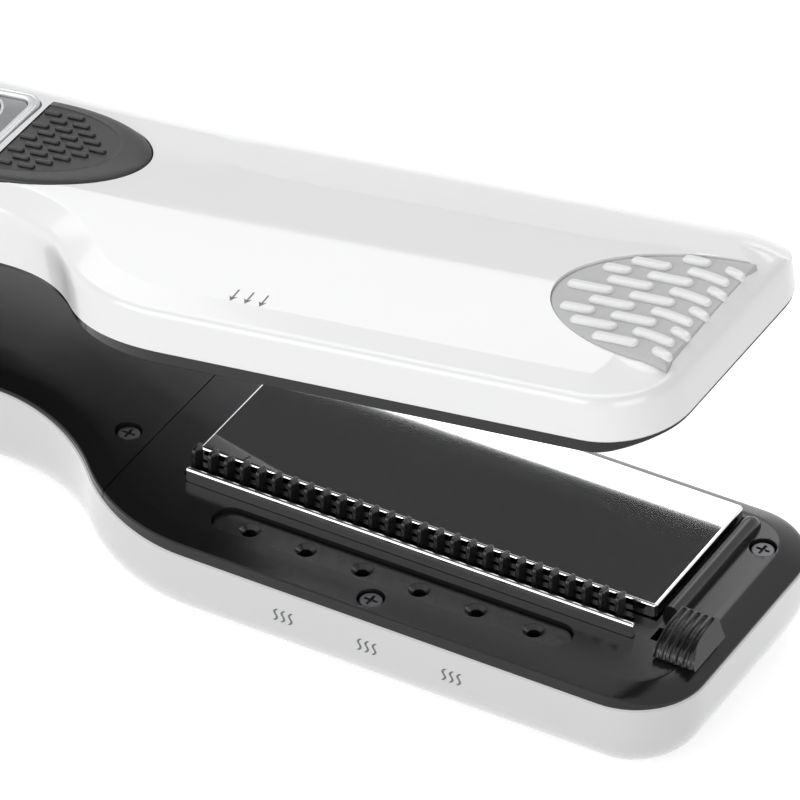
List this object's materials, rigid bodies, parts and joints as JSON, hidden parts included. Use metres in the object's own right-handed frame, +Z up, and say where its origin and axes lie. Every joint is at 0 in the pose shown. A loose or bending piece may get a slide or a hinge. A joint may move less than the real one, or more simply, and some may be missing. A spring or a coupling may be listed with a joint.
{
  "type": "steam hair straightener brush",
  "caption": "Steam hair straightener with a comb beside its heating plates: clam-shell arms on a tail hinge, control panel, comb knob, steam outlets and a pull-out water tank.",
  "frame": {"origin": "on the flat underside of the lower arm, below the hinge pin's axis and on the handle's centre line", "axes": "+X from the hinge to the tip, +Y to the straight far side, -Y to the comb side, +Z up; the arms are open at rest"},
  "size_m": [0.32, 0.059, 0.0795],
  "materials": {
    "white_shell": "glossy",
    "black_frame": "satin",
    "black_comb": "satin",
    "plate_metal": "polished",
    "chrome_trim": "polished",
    "bezel_metal": "satin",
    "panel_black": "glossy",
    "button_silver": "satin",
    "pad_rubber": "matt",
    "grip_plastic": "glossy",
    "screw_steel": "satin",
    "inner_steel": "satin",
    "holder_plastic": "matt",
    "hinge_black": "satin",
    "tank_plastic": "glossy",
    "seal_rubber": "matt",
    "board_green": "satin",
    "display_grey": "glossy",
    "wire_red": "satin"
  },
  "bodies": {
    "lower_arm": {"lower_shell": "white_shell", "lower_head_frame": "black_frame", "lower_handle_cover": "black_frame", "lower_plate": "plate_metal", "lower_heater": "inner_steel", "lower_plate_holder": "holder_plastic", "chrome_rail": "chrome_trim", "plate_end_bar": "black_comb", "comb_guide": "holder_plastic", "steam_strip": "black_comb", "steam_gasket": "seal_rubber", "steam_chamber": "inner_steel", "micro_pump": "inner_steel", "suction_hose": "seal_rubber", "delivery_hose": "seal_rubber", "tank_valve": "inner_steel", "lower_hinge_bracket": "hinge_black", "hinge_pin": "inner_steel", "hinge_spring": "inner_steel", "closing_switch": "hinge_black", "lower_wiring": "wire_red", "lower_thermal_fuse": "inner_steel", "lower_screws": "screw_steel"},
    "upper_arm": {"upper_shell": "white_shell", "upper_head_frame": "black_frame", "upper_handle_cover": "black_frame", "upper_plate_holder": "holder_plastic", "plate_springs": "inner_steel", "upper_hinge_bracket": "hinge_black", "panel_bezel": "bezel_metal", "control_panel": "panel_black", "display_module": "display_grey", "circuit_board": "board_green", "button_switches": "inner_steel", "thumb_pad": "pad_rubber", "tip_grip": "grip_plastic", "swivel_socket": "hinge_black", "upper_wiring": "wire_red", "upper_thermal_fuse": "inner_steel", "upper_screws": "screw_steel"},
    "floating_plate": {"upper_plate": "plate_metal", "upper_heater": "inner_steel"},
    "comb": {"comb": "black_comb"},
    "comb_knob": {"comb_slider": "black_comb"},
    "trigger": {"trigger_pin": "black_comb"},
    "tank": {"water_tank": "tank_plastic", "tank_seal": "seal_rubber"},
    "filler_plug": {"tank_plug": "seal_rubber"},
    "power_button": {"power_button": "button_silver"},
    "plus_button": {"plus_button": "button_silver"},
    "minus_button": {"minus_button": "button_silver"},
    "swivel": {"cord_swivel": "hinge_black"}
  },
  "joints": [
    {"name": "arm_hinge", "type": "hinge", "parent": "lower_arm", "child": "upper_arm", "pos_m": [0, 0, 0.0206], "axis": [0, 1, 0], "range_deg": [0, 8.4], "stiffness_Nm_per_rad": 1.2, "springref_deg": -20.05},
    {"name": "upper_plate_float", "type": "slide", "parent": "upper_arm", "child": "floating_plate", "axis": [-0.1461, 0, 0.9893], "range_m": [0, 0.0008], "stiffness_N_per_m": 3000, "springref_m": -0.0008, "deforming": ["plate_springs"]},
    {"name": "comb_knob_slide", "type": "slide", "parent": "lower_arm", "child": "comb_knob", "axis": [-1, 0, 0], "range_m": [0, 0.004]},
    {"name": "comb_lift", "type": "slide", "parent": "lower_arm", "child": "comb", "axis": [0, 0, -1], "range_m": [0, 0.003]},
    {"name": "trigger_slide", "type": "slide", "parent": "lower_arm", "child": "trigger", "axis": [0, 0, -1], "range_m": [0, 0.0033]},
    {"name": "tank_slide", "type": "slide", "parent": "lower_arm", "child": "tank", "axis": [-1, 0, 0], "range_m": [0, 0.09]},
    {"name": "filler_plug_pull", "type": "slide", "parent": "tank", "child": "filler_plug", "axis": [-1, 0, 0], "range_m": [0, 0.006]},
    {"name": "power_press", "type": "slide", "parent": "upper_arm", "child": "power_button", "axis": [0.1461, 0, -0.9893], "range_m": [0, 0.0008], "stiffness_N_per_m": 600},
    {"name": "plus_press", "type": "slide", "parent": "upper_arm", "child": "plus_button", "axis": [0.1461, 0, -0.9893], "range_m": [0, 0.0008], "stiffness_N_per_m": 600},
    {"name": "minus_press", "type": "slide", "parent": "upper_arm", "child": "minus_button", "axis": [0.1461, 0, -0.9893], "range_m": [0, 0.0008], "stiffness_N_per_m": 600},
    {"name": "cord_swivel_turn", "type": "hinge", "parent": "upper_arm", "child": "swivel", "pos_m": [-0.00127, 0, 0.02921], "axis": [0.9893, 0, 0.1461], "continuous": true}
  ],
  "couplings": [
    {"joint": "comb_lift", "follows": "comb_knob_slide", "ratio": 0.75},
    {"joint": "trigger_slide", "follows": "arm_hinge", "m_per_rad": 0.022}
  ]
}
